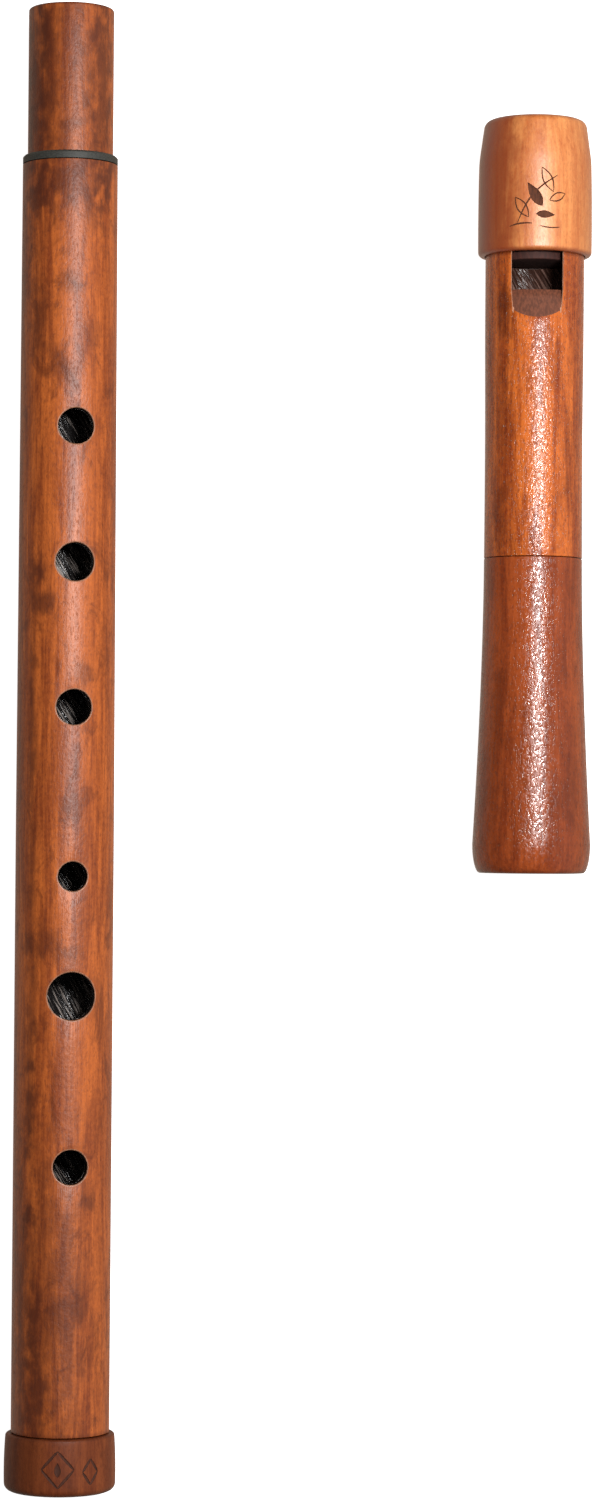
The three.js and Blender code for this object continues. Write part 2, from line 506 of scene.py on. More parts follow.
def shader_group(name, inputs, outputs, fill):
    """Builds a node group once. Inputs are (name, kind, default), outputs (name, kind)."""
    if name in bpy.data.node_groups:
        return bpy.data.node_groups[name]
    tree = bpy.data.node_groups.new(name, "ShaderNodeTree")
    new_socket = tree.interface.new_socket
    for label, kind, default in inputs:
        socket = new_socket(label, in_out="INPUT", socket_type="NodeSocket" + kind)
        if default is not None:
            socket.default_value = default
    for label, kind in outputs:
        new_socket(label, in_out="OUTPUT", socket_type="NodeSocket" + kind)
    graph = Graph(tree)
    source = tree.nodes.new("NodeGroupInput").outputs
    sink = tree.nodes.new("NodeGroupOutput").inputs
    for label, value in fill(graph, source).items():
        tree.links.new(value, sink[label])
    return tree


def fill_stained_wood(graph, source):
    """Long tone streaks, fine fibres, short dark ticks and soft blotches of dye.

    The last of the noises, peel, is the fine unevenness of the oil that lies on the wood.
    """
    seed = source["Seed"]

    def noise(scale, *character, turn=(0, 0, 0)):
        return graph.noise(graph.stretched(source["Vector"], scale, seed, turn), *character)

    tone = noise((0.26, 0.022, 0.26), 5.0, 0.6, 0.8)
    fibre = noise((1.7, 0.07, 1.7), 5.0, 0.65, 0.25)
    curl = noise((0.9, 0.8, 0.9), 4.0, 0.65, 0.4)
    tick = noise((3.0, 0.9, 3.0), 2.0, 0.5)
    blotch = noise((0.15, 0.075, 0.15), 6.0, 0.66, 1.2)
    peel = noise((1.5, 1.0, 1.5), 2.0, 0.5, turn=(0.6, 0.9, 0.5))
    streak = graph.weighted((graph.band(tone, 0.40, 0.60), 0.50),
                            (graph.band(fibre, 0.36, 0.64), 0.30),
                            (graph.band(curl, 0.35, 0.65), 0.20))
    wood = graph.mix(streak, source["Dark"], source["Pale"])
    deep = graph.mix(1.0, source["Dark"], (0.50, 0.48, 0.50, 1), "MULTIPLY")
    ticks = graph.math("MULTIPLY", graph.band(tick, 0.54, 0.68), source["Fleck"])
    flecked = graph.mix(ticks, wood, graph.mix(0.6, wood, deep))
    clouds = graph.math("MULTIPLY", graph.band(blotch, 0.51, 0.68), source["Blotch"])
    unticked = graph.math("SUBTRACT", 1.0, ticks)
    height = graph.weighted((peel, 1.0), (unticked, 0.35), (fibre, 0.3))
    return {"Color": graph.mix(clouds, flecked, deep), "Height": height, "Pore": ticks,
            "Peel": graph.band(peel, 0.45, 0.58)}


def stained_wood_group():
    inputs = (("Vector", "Vector", None), ("Pale", "Color", None), ("Dark", "Color", None),
              ("Fleck", "Float", 0.6), ("Blotch", "Float", 0.5), ("Seed", "Float", 0.0))
    outputs = (("Color", "Color"), ("Height", "Float"), ("Pore", "Float"),
               ("Peel", "Float"))
    return shader_group("Stained Wood", inputs, outputs, fill_stained_wood)


def fill_wound_fibre(graph, source):
    """Strands wound round the bore on a slant, each a little proud of the resin."""
    parts = graph.add("SeparateXYZ", {0: source["Vector"]}).outputs
    under = graph.math("MULTIPLY", parts[2], -1.0)
    turn = graph.math("ARCTAN2", parts[0], under)
    slant = graph.weighted((turn, 8.0), (parts[1], source["Slant"]))
    strand_place = graph.add("CombineXYZ", {0: graph.math("MULTIPLY", slant, 1.5),
                                            1: graph.math("MULTIPLY", parts[1], 0.14), 2: 0.0})
    strand = graph.noise(strand_place.outputs[0], 2.0, 0.5, 0.3)
    return {"Strand": graph.band(strand, 0.50, 0.66), "Height": strand}


def wound_fibre_group():
    inputs = (("Vector", "Vector", None), ("Slant", "Float", 0.6))
    outputs = (("Strand", "Float"), ("Height", "Float"))
    return shader_group("Wound Fibre", inputs, outputs, fill_wound_fibre)


# ---------------------------------------------------------------- materials


def new_material(name):
    material = bpy.data.materials.new(name)
    material.use_nodes = True
    material.node_tree.nodes.clear()
    return material, Graph(material.node_tree)


def own_vector(graph, place):
    """Object coordinates turned into millimetres along the piece's own axis."""
    inverse = place.inverted()
    inputs = {
        "Vector": graph.add("TexCoord").outputs["Object"],
        "Location": inverse.translation / MM,
        "Rotation": inverse.to_euler(),
        "Scale": (1 / MM, 1 / MM, 1 / MM),
    }
    return graph.add("Mapping", inputs).outputs[0]


def close_surface(graph, inputs, height=None, distance=0.0001, strength=0.3):
    """Ends a material with its own shader, with a bump where a height is given."""
    if height is not None:
        bump = graph.add("Bump", {"Height": height, "Distance": distance, "Strength": strength})
        inputs = {**inputs, "Normal": bump.outputs[0]}
    shader = graph.add("BsdfPrincipled", inputs)
    output = graph.add("OutputMaterial")
    graph.tree.links.new(shader.outputs[0], output.inputs[0])


def on_top(place, across, along, radius):
    """A point on a turned piece's surface, found as it lies, from above."""
    lying = Vector((across, 0, math.sqrt(radius ** 2 - across ** 2)))
    point = place.to_3x3().inverted() @ lying
    return (point.x, along, point.z)


def stain_and_shade_patch(graph, vector, edge, point, width, length):
    """How far a place lies within one oval patch, from 0 outside to 1 at its middle."""
    away = graph.add("VectorMath", {0: vector, 1: point}, operation="SUBTRACT")
    reach = (width / 2, length / 2, width / 2)
    shaped = graph.add("VectorMath", {0: away.outputs[0], 1: reach}, operation="DIVIDE")
    distance = graph.add("VectorMath", {0: shaped.outputs[0]}, operation="LENGTH")
    return graph.band(graph.math("ADD", distance.outputs["Value"], edge), 1.7, 0.5)


def wood(name, place, pale, dark, seed, *, fleck, blotch, roughness, bump, coat=0.0,
         coat_roughness=0.2, specular=0.5, ragged=0.75, stain_and_shade=None, peel=0.0, patches=(),
         shade_bands=()):
    """Stained wood. Each patch is (across, along, width, length, depth, radius there); a patch
    darkens the wood, as a real streak or knot on some pieces and as painted shade on others.

    Each band is (along, reach, depth), a line of painted shade round the piece where an end
    rounds off or a joint meets. Peel breaks the shine of thick oil into small glints.
    """
    material, graph = new_material(name)
    vector = own_vector(graph, place)
    group = graph.add("Group", node_tree=stained_wood_group())
    values = {"Vector": vector, "Pale": (*pale, 1), "Dark": (*dark, 1), "Fleck": fleck,
              "Blotch": blotch, "Seed": seed}
    for key, value in values.items():
        graph.feed(group.inputs[key], value)
    tint = group.outputs["Color"]
    # The deep colour that patches and bands darken towards: the wood's darkest streaks, and
    # painted shade.
    deep = (*(stain_and_shade or [channel * 0.36 for channel in dark]), 1)
    # Painted shade: each band darkens a line round the piece.
    if shade_bands:
        along_y = graph.add("SeparateXYZ", {0: vector}).outputs[1]
        for along, reach, depth in shade_bands:
            away = graph.math("ABSOLUTE", graph.math("SUBTRACT", along_y, along))
            tint = graph.mix(graph.band(away, reach, 0.0, 0.0, depth), tint, deep)
    # Patches: real dark streaks and knots, and painted shade down one side of some pieces.
    if patches:
        wander = graph.noise(graph.stretched(vector, (0.36, 0.20, 0.36), seed), 3.0, 0.55)
        edge = graph.band(wander, 0.3, 0.7, 0.0, ragged)
        for across, along, width, length, depth, radius in patches:
            point = on_top(place, across, along, radius)
            patch = stain_and_shade_patch(graph, vector, edge, point, width, length)
            tint = graph.mix(graph.math("MULTIPLY", patch, depth), tint, deep)
    dull = graph.math("MAXIMUM", group.outputs["Pore"],
                      graph.math("MULTIPLY", group.outputs["Peel"], peel))
    shine = graph.band(dull, 0.0, 1.0, roughness, roughness + 0.2)
    inputs = {"Base Color": tint, "Roughness": shine, "Coat Weight": coat,
              "Coat Roughness": coat_roughness, "Coat IOR": 1.5, "Specular IOR Level": specular}
    close_surface(graph, inputs, group.outputs["Height"], 0.0002, bump)
    return material


def plain_wall(name, place, tint, roughness=0.6):
    """Cut or burnt wood, and walls darkened as painted shade: one tint that fine fibres vary."""
    material, graph = new_material(name)
    vector = own_vector(graph, place)
    fibre = graph.noise(graph.stretched(vector, (2.2, 0.5, 2.2), 3.0), 4.0, 0.6)
    deep = tuple(channel * 0.55 for channel in tint)
    shade = graph.mix(graph.band(fibre, 0.35, 0.65), (*deep, 1), (*tint, 1))
    close_surface(graph, {"Base Color": shade, "Roughness": roughness}, fibre, 0.0001, 0.35)
    return material


def liner_material(name, place, resin, strand):
    """Glossy resin with slanting strands that show through it."""
    material, graph = new_material(name)
    group = graph.add("Group", node_tree=wound_fibre_group())
    graph.feed(group.inputs["Vector"], own_vector(graph, place))
    graph.feed(group.inputs["Slant"], 0.6)
    tint = graph.mix(group.outputs["Strand"], (*resin, 1), (*strand, 1))
    shine = graph.band(group.outputs["Strand"], 0.0, 1.0, 0.22, 0.38)
    inputs = {"Base Color": tint, "Roughness": shine, "Specular IOR Level": 0.35}
    close_surface(graph, inputs, group.outputs["Height"], 0.0012, 0.7)
    return material


def ring_material():
    material, graph = new_material("Black Ring")
    vector = own_vector(graph, BODY_PLACE)
    grain = graph.noise(graph.stretched(vector, (2.0, 6.0, 2.0), 1.0), 4.0, 0.6)
    tint = graph.mix(graph.band(grain, 0.35, 0.65), (0.022, 0.022, 0.018, 1),
                     (0.050, 0.050, 0.042, 1))
    close_surface(graph, {"Base Color": tint, "Roughness": 0.6}, grain, 0.00005, 0.3)
    return material


def cork_material():
    material, graph = new_material("Cork")
    vector = own_vector(graph, HEAD_PLACE)
    cells = graph.add("TexVoronoi", {"Vector": vector, "Scale": 0.9}).outputs["Color"]
    value = graph.add("SeparateColor", {0: cells}).outputs[0]
    speck = graph.noise(graph.stretched(vector, (1.1, 1.1, 1.1), 5.0), 4.0, 0.6)
    base = graph.mix(value, (0.34, 0.185, 0.085, 1), (0.60, 0.38, 0.20, 1))
    tint = graph.mix(graph.band(speck, 0.60, 0.68), base, (0.10, 0.045, 0.020, 1))
    close_surface(graph, {"Base Color": tint, "Roughness": 0.85}, speck, 0.0004, 0.5)
    return material


def body_wood():
    patches = (
        (-6.6, 345.0, 4.5, 12.0, 0.75, 10.2),
        (-8.0, 331.0, 11.0, 70.0, 0.80, 10.2),
        (0.0, 334.0, 26.0, 70.0, 0.30, 10.2),
        (7.8, 331.0, 9.0, 70.0, 0.72, 10.2),
        (-4.2, 331.0, 8.0, 70.0, 0.32, 10.2),
        (5.6, 329.0, 5.0, 4.5, 0.45, 10.2),
        (2.0, 322.8, 9.5, 4.5, 0.55, 10.2),
        (0.0, 308.5, 27.0, 14.0, 0.55, 11.3),
        (-5.6, 309.0, 7.0, 12.0, 0.50, 11.3),
        (6.4, 309.5, 6.5, 12.0, 0.50, 11.3),
        (0.8, 285.5, 6.5, 6.5, 0.42, 11.3),
        (-6.2, 276.0, 7.5, 22.0, 0.50, 11.4),
        (-1.2, 265.0, 8.0, 8.0, 0.42, 11.4),
        (6.2, 273.0, 5.0, 8.0, 0.30, 11.4),
        (-5.8, 217.5, 8.5, 7.0, 0.80, 11.5),
        (-4.4, 209.4, 6.0, 6.6, 0.72, 11.5),
        (-7.0, 212.6, 5.0, 5.0, 0.45, 11.5),
        (5.2, 192.5, 7.0, 7.0, 0.45, 11.5),
        (-7.4, 184.0, 3.2, 56.0, 0.62, 11.6),
        (-7.2, 145.0, 3.2, 54.0, 0.32, 11.6),
        (-7.0, 116.0, 4.0, 44.0, 0.50, 11.6),
        (-5.2, 129.0, 10.0, 10.0, 0.56, 11.6),
        (1.5, 127.0, 8.0, 5.0, 0.50, 11.6),
        (8.0, 118.0, 5.0, 12.0, 0.40, 11.6),
        (-7.2, 91.0, 3.8, 36.0, 0.72, 11.6),
        (7.0, 69.0, 4.5, 4.5, 0.55, 11.6),
        (-7.2, 65.0, 3.6, 9.0, 0.85, 11.6),
        (-5.4, 41.0, 5.0, 18.0, 0.78, 11.6),
        (1.6, 43.0, 11.0, 9.0, 0.42, 11.6),
        (-5.2, 25.0, 8.0, 21.0, 0.75, 11.6),
        # The last two patches are partly darker wood at the foot and partly painted shade, for
        # the light falling off towards the foot.
        (-9.0, 34.0, 5.0, 90.0, 0.36, 11.6),
        (-3.4, 38.0, 24.0, 100.0, 0.47, 11.6),
    )
    finish = tints()
    return wood("Body Wood", BODY_PLACE, finish.body_pale, finish.body_dark, 2.0, fleck=0.55,
                blotch=0.6, roughness=0.42, bump=0.35, specular=0.42, patches=patches,
                # Painted shade: the dark lines at the tenon's end and above the ferrule, in the
                # deep colour that the wood's dark patches also use.
                stain_and_shade=(0.085, 0.017, 0.006),
                shade_bands=((BODY_LENGTH, 1.0, 0.6), (FERRULE_LENGTH, 1.6, 0.5)))


# ---------------------------------------------------------------- operators


class PieceOperator:
    bl_options = {"REGISTER", "UNDO"}

    def execute(self, context):
        self.make()
        return {"FINISHED"}


class WHISTLE_OT_body_tube(PieceOperator, bpy.types.Operator):
    """Turn the body with its tenon and drill the finger holes"""

    bl_idname = "whistle.body_tube"
    bl_label = "Body Tube"

    def make(self):
        tube_r = body_r(0)
        foot = FERRULE_LENGTH + BUTT
        corners = [(tenon_r(), BUTT, 0), (tenon_r(), foot, 0), (tube_r, foot, 0.15)]
        corners += [(body_r(y), y, 0) for y in stations(foot, SHOULDER_Y, 10)]
        corners += [(body_r(SHOULDER_Y), SHOULDER_Y, 0.12), (tenon_r(), SHOULDER_Y, 0)]
        corners += [(tenon_r(), y, 0) for y in stations(SHOULDER_Y, BODY_LENGTH, 10)]
        corners += [(tenon_r(), BODY_LENGTH, 0.6), (wood_bore_r(), BODY_LENGTH, 0.2)]
        corners += [(wood_bore_r(), BUTT, 0)]
        tube = carved(turned(rounded(corners)), finger_drills())
        darkened_inside(tube, wood_bore_r() + 0.05)
        # Painted shade: the walls deep in the finger holes and the bore's wood are near black.
        wall = plain_wall("Hole Wall Painted Shade", BODY_PLACE, (0.020, 0.008, 0.004), 0.5)
        rim = plain_wall("Eased Rim", BODY_PLACE, (0.46, 0.200, 0.110), 0.4)
        finished(tube, "body_tube", BODY_PLACE, "body", [body_wood(), wall, rim])


class WHISTLE_OT_liners(PieceOperator, bpy.types.Operator):
    """Wind the black liners of both pieces"""

    bl_idname = "whistle.liners"
    bl_label = "Bore Liners"

    def make(self):
        # Painted light: one wound liner in two tints. The body's strands are lighter, to show in
        # the shade under the finger holes; the head's strands are darker and its resin warmer,
        # for the light in the window.
        for body, place, ends, cutter, resin, strand in (
            ("body", BODY_PLACE, (0, BODY_LENGTH), finger_drills(),
             (0.012, 0.010, 0.010), (0.32, 0.27, 0.24)),
            ("head", HEAD_PLACE, (SOCKET_DEPTH, BLOCK_START_Y), window_cutter(),
             (0.045, 0.019, 0.013), (0.20, 0.11, 0.085)),
        ):
            liner = sleeve(bore_r(), liner_r(), ends[0] + BUTT, ends[1] - BUTT)
            liner = slotted(carved(liner, cutter), WOOD_SLOT)
            fibre = liner_material(body.title() + " Liner Fibre", place, resin, strand)
            finished(liner, body + "_liner", place, body, [fibre])


def ferrule_r(y):
    """Radius of the ferrule's belly, fullest a third of the way up."""
    fullest = sizes().ferrule / 2
    return fullest - FERRULE_BELLY * (y - FERRULE_LENGTH / 3) ** 2


class WHISTLE_OT_foot_ferrule(PieceOperator, bpy.types.Operator):
    """Turn the foot ferrule and burn its lozenge mark"""

    bl_idname = "whistle.foot_ferrule"
    bl_label = "Foot Ferrule"

    def make(self):
        inner_r = tenon_r() + GLUE
        corners = [(inner_r, 0, 0.3), (ferrule_r(0), 0, 1.7)]
        corners += [(ferrule_r(y), y, 0) for y in stations(1.5, FERRULE_LENGTH - 0.5, 1)]
        corners += [(ferrule_r(FERRULE_LENGTH), FERRULE_LENGTH, 0.65),
                    (inner_r, FERRULE_LENGTH, 0)]
        marks = joined([groove(*path, ferrule_r) for path in self.mark()])
        ferrule = carved(turned(rounded(corners)), marks, crossing=True)
        finish = tints()
        stained = wood(
            "Ferrule Wood", BODY_PLACE, finish.ferrule_pale, finish.ferrule_dark, 31.0,
            fleck=0.5, blotch=0.3, roughness=0.5, bump=0.2, specular=0.22, ragged=0.3,
            patches=((-9.0, 7.0, 12.0, 40.0, 0.45, 13.0),),
            # Painted shade: dark lines at the ferrule's foot edge and where it meets the tube.
            shade_bands=((0.0, 1.6, 0.5), (FERRULE_LENGTH, 0.8, 0.5)))
        burnt = plain_wall("Burnt Mark", BODY_PLACE, (0.085, 0.020, 0.006), 0.8)
        finished(ferrule, "foot_ferrule", BODY_PLACE, "body", [stained, burnt])

    @staticmethod
    def mark():
        """A lozenge with a dot, and a smaller lozenge beside it."""
        half_width, depth = 0.36, 0.24
        paths = []
        for centre, wide, tall in (((-2.8, 6.6), 3.9, 4.3), ((5.3, 5.9), 2.1, 3.0)):
            points = [(centre[0] + wide * c, centre[1] + tall * s)
                      for c, s in ((1, 0), (0, 1), (-1, 0), (0, -1))]
            for start, end in zip(points, points[1:] + points[:1]):
                paths.append(line(start, end, half_width, depth))
        paths.append(leaf((-2.8, 4.9), (-2.8, 8.3), 0.8))
        return paths


class WHISTLE_OT_shoulder_ring(PieceOperator, bpy.types.Operator):
    """Turn the black ring that seats against the shoulder"""

    bl_idname = "whistle.shoulder_ring"
    bl_label = "Shoulder Ring"

    def make(self):
        low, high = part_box("shoulder_ring")
        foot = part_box("foot_ferrule")[0].y
        start, end = (low.y - foot) / MM, (high.y - foot) / MM
        inner_r = tenon_r() + GLUE
        outer_r = body_r(SHOULDER_Y)
        bevel = 0.4
        corners = [(inner_r, start, 0), (outer_r, start, 0.08), (outer_r, end - bevel, 0.2),
                   (outer_r - bevel, end, 0.2), (inner_r, end, 0)]
        finished(turned(rounded(corners)), "shoulder_ring", BODY_PLACE, "body",
                 [ring_material()])


class WHISTLE_OT_socket_barrel(PieceOperator, bpy.types.Operator):
    """Turn the flared barrel that holds the socket"""

    bl_idname = "whistle.socket_barrel"
    bl_label = "Socket Barrel"

    def make(self):
        flare_r = sizes().flare / 2
        seam_r = sizes().seam / 2
        quarter = [math.radians(90 * i / 10) for i in range(1, 11)]
        outline = [(flare_r - LIP_DEPTH, 0)]
        outline += [(flare_r - LIP_DEPTH * (1 - math.sin(a)), LIP_LENGTH * (1 - math.cos(a)))
                    for a in quarter]
        for y in stations(LIP_LENGTH, BARREL_LENGTH, 3):
            left = 1 - (y - LIP_LENGTH) / (BARREL_LENGTH - LIP_LENGTH)
            outline.append((seam_r + (flare_r - seam_r) * left ** FLARE_POWER, y))
        socket_r = tenon_r() + GLUE + CORK_WALL + GLUE
        counterbore_r = SPIGOT_R + GLUE
        inside = [(seam_r, BARREL_LENGTH, 0.12), (counterbore_r, BARREL_LENGTH, 0),
                  (counterbore_r, SPIGOT_START_Y, 0), (wood_bore_r(), SPIGOT_START_Y, 0),
                  (wood_bore_r(), SOCKET_DEPTH, 0), (socket_r, SOCKET_DEPTH, 0),
                  (socket_r, 0, 0)]
        eased = rounded([(*outline[-1], 0), *inside])
        barrel = turned(outline[:-1] + [tuple(point) for point in eased])
        finish = tints()
        patches = ((0.0, 22.0, 34.0, 60.0, 0.18, 13.0), (-10.0, 25.0, 8.0, 80.0, 0.30, 13.0),
                   (7.2, 52.0, 1.6, 44.0, 0.35, 12.2), (8.0, 20.0, 6.0, 22.0, 0.25, 12.8))
        stained = wood(
            "Barrel Wood", HEAD_PLACE, finish.barrel_pale, finish.barrel_dark, 12.0,
            fleck=0.7, blotch=0.35, roughness=0.14, coat=0.06, coat_roughness=0.4, bump=0.62,
            specular=0.44, peel=0.95, patches=patches,
            # Painted shade: a dark line at the mouth's edge and a faint one where the lip
            # starts.
            shade_bands=((0.0, 1.4, 0.5), (LIP_LENGTH, 0.7, 0.12)))
        finished(barrel, "socket_barrel", HEAD_PLACE, "head", [stained])


class WHISTLE_OT_socket_cork(PieceOperator, bpy.types.Operator):
    """Line the socket with cork"""

    bl_idname = "whistle.socket_cork"
    bl_label = "Socket Cork"

    def make(self):
        inner_r = tenon_r() + GLUE
        cork = sleeve(inner_r, inner_r + CORK_WALL, BUTT, SOCKET_DEPTH - BUTT, 0.2)
        finished(cork, "socket_cork", HEAD_PLACE, "socket_sleeve",
                 [cork_material()])


def window_cutter():
    half, top = sizes().window / 2, 16
    return boxed((-half, BLADE_Y, 0), (half, CAP_START_Y + 0.3, top), WALL_SLOT)


def ramp_half_width(y):
    """The ramp narrows a little towards its top."""
    narrowing = 0.5
    along = (BLADE_Y - y) / (BLADE_Y - RAMP_TOP_Y)
    return sizes().window / 2 - narrowing * max(0.0, along)


def ramp_height(x, y):
    """Height of the ramp above the axis. It is arched across, and steeper beside the blade."""
    lip_y = BLADE_Y - 1.5
    blade_z, lip_z, arch_r = 9.0, 9.85, 20.0
    if y > lip_y:
        height = lip_z + (blade_z - lip_z) * (y - lip_y) / (BLADE_Y - lip_y)
    else:
        height = lip_z + (WINDOW_R - lip_z) * (lip_y - y) / (lip_y - RAMP_TOP_Y)
    return height - x * x / (2 * arch_r)


def ramp_cutter():
    """All that lies above the ramp, from behind its top to just past the blade."""
    bm = bmesh.new()
    low_y, high_y = RAMP_TOP_Y - 3, BLADE_Y + 0.4
    grid = bmesh.ops.create_grid(bm, x_segments=16, y_segments=28, size=1)["verts"]
    for vert in grid:
        y = low_y + (high_y - low_y) * (vert.co.y + 1) / 2
        x = vert.co.x * ramp_half_width(min(y, BLADE_Y))
        vert.co = Vector((x, y, ramp_height(x, y)))
    top = bmesh.ops.extrude_face_region(bm, geom=bm.faces[:])["geom"]
    raised = [item for item in top if isinstance(item, bmesh.types.BMVert)]
    bmesh.ops.translate(bm, verts=raised, vec=(0, 0, 8))
    bmesh.ops.recalc_face_normals(bm, faces=bm.faces)
    return slotted(bm, RAMP_SLOT)


def edge_easers():
    """Square bars that ease the long outer edges of the window and the ramp."""
    half = sizes().window / 2
    side, lean = 0.42, 15
    bars = []
    for sign in (-1, 1):
        ends = []
        for y in (CAP_START_Y + 0.3, BLADE_Y, RAMP_TOP_Y + 1.2):
            x = min(half, ramp_half_width(y))
            ends.append(Vector((sign * x, y, math.sqrt(WINDOW_R ** 2 - x * x))))
        for start, end in zip(ends, ends[1:]):
            along = (end - start).to_track_quat("Y", "Z").to_matrix().to_4x4()
            place = (Matrix.Translation((start + end) / 2) @ along
                     @ Matrix.Rotation(math.radians(45 + sign * lean), 4, "Y")
                     @ Matrix.Diagonal((side, (end - start).length + 0.1, side, 1)))
            bar = bmesh.new()
            bmesh.ops.create_cube(bar, size=1, matrix=place)
            bars.append(slotted(bar, RIM_SLOT))
    return joined(bars)


def windway_cutter(floor_r, start_y):
    """An arched slot over the block, as wide as the window."""
    half_angle = math.asin(sizes().window / 2 / WINDWAY_ROOF_R)
    end_y = HEAD_LENGTH + 2
    bm = bmesh.new()
    corners = ((floor_r, start_y), (WINDWAY_ROOF_R, start_y),
               (WINDWAY_ROOF_R, end_y), (floor_r, end_y))
    verts = [bm.verts.new((0, y, r)) for r, y in corners]
    bmesh.ops.rotate(
        bm, verts=verts, cent=(0, 0, 0), matrix=Matrix.Rotation(-half_angle, 3, "Y"))
    edges = [bm.edges.new((verts[i - 1], verts[i])) for i in range(4)]
    bmesh.ops.spin(bm, geom=verts + edges, cent=(0, 0, 0), axis=(0, 1, 0), angle=2 * half_angle,
                   steps=24)
    open_edges = [edge for edge in bm.edges if edge.is_boundary]
    bmesh.ops.holes_fill(bm, edges=open_edges, sides=4)
    bmesh.ops.recalc_face_normals(bm, faces=bm.faces)
    return slotted(bm, WALL_SLOT)


class WHISTLE_OT_head_tube(PieceOperator, bpy.types.Operator):
    """Turn the head tube and cut its window, ramp and windway"""

    bl_idname = "whistle.head_tube"
    bl_label = "Head Tube"

    def make(self):
        start, end = BARREL_LENGTH + BUTT, PLATE_Y - BUTT
        seam_r = sizes().seam / 2
        waist_depth, waist_length = 0.07, 50
        swell_start_y, swell_length = 105, 26
        corners = [(SPIGOT_R, SPIGOT_START_Y + BUTT, 0.2), (SPIGOT_R, start, 0),
                   (seam_r, start, 0.12)]
        for y in stations(start, end, 5):
            in_waist = min(1.0, (y - start) / waist_length)
            in_swell = min(1.0, max(0.0, (y - swell_start_y) / swell_length))
            waist = seam_r - waist_depth * math.sin(math.pi * in_waist)
            corners.append((waist + (WINDOW_R - seam_r) * in_swell, y, 0))
        corners += [(WINDOW_R, end, 0.2), (wood_bore_r(), end, 0),
                    (wood_bore_r(), SPIGOT_START_Y + BUTT, 0)]
        tube = carved(turned(rounded(corners)), window_cutter())
        tube = carved(tube, ramp_cutter())
        tube = carved(tube, windway_cutter(wood_bore_r() - 0.3, BLOCK_START_Y))
        tube = carved(tube, edge_easers(), crossing=True)
        darkened_inside(tube, wood_bore_r() + 0.05)
        finish = tints()
        patches = ((-7.6, 132.0, 4.5, 15.0, 0.75, 11.7), (-7.0, 106.0, 4.0, 34.0, 0.28, 11.6),
                   (-8.4, 84.0, 5.0, 22.0, 0.34, 11.6), (-9.5, 105.0, 5.0, 90.0, 0.20, 11.6),
                   (7.5, 96.0, 2.4, 30.0, 0.30, 11.6))
        stained = wood(
            "Head Wood", HEAD_PLACE, finish.head_pale, finish.head_dark, 7.0, fleck=0.8,
            blotch=0.35, roughness=0.16, coat=0.08, coat_roughness=0.4, bump=0.75,
            # Painted shade: a dark line round the head tube just below the cap's lip.
            specular=0.42, peel=0.6, patches=patches, shade_bands=((CAP_START_Y, 1.2, 0.6),))
        # Painted shade: the window's and windway's cut walls are near black.
        wall = plain_wall("Window Wall Painted Shade", HEAD_PLACE, (0.05, 0.017, 0.008))
        rim = plain_wall("Eased Edge", HEAD_PLACE, (0.66, 0.32, 0.19), 0.4)
        ramp = plain_wall("Ramp", HEAD_PLACE, (0.21, 0.062, 0.028), 0.65)
        finished(tube, "head_tube", HEAD_PLACE, "head", [stained, wall, rim, ramp])


class WHISTLE_OT_fipple_block(PieceOperator, bpy.types.Operator):
    """Turn the block that closes the bore under the windway"""

    bl_idname = "whistle.fipple_block"
    bl_label = "Fipple Block"

    def make(self):
        radius = wood_bore_r() - 0.1
        end = PLATE_Y - BUTT
        outline = rounded([(0, BLOCK_START_Y, 0), (radius, BLOCK_START_Y, 0.25),
                           (radius, end, 0.1), (0, end, 0)])
        block = turned(outline, closed=False)
        # Painted shade: the block's wood is darkened for the shade under the cap.
        shade_darkened_block = plain_wall("Block Wood Painted Shade", HEAD_PLACE, (0.075, 0.020, 0.013), 0.75)
        finished(block, "fipple_block", HEAD_PLACE, "head", [shade_darkened_block])


def cap_r(y):
    """Radius of the cap's belly, before it draws in towards the blowing end."""
    return sizes().cap / 2 - CAP_BELLY * (y - CAP_START_Y - 7) ** 2


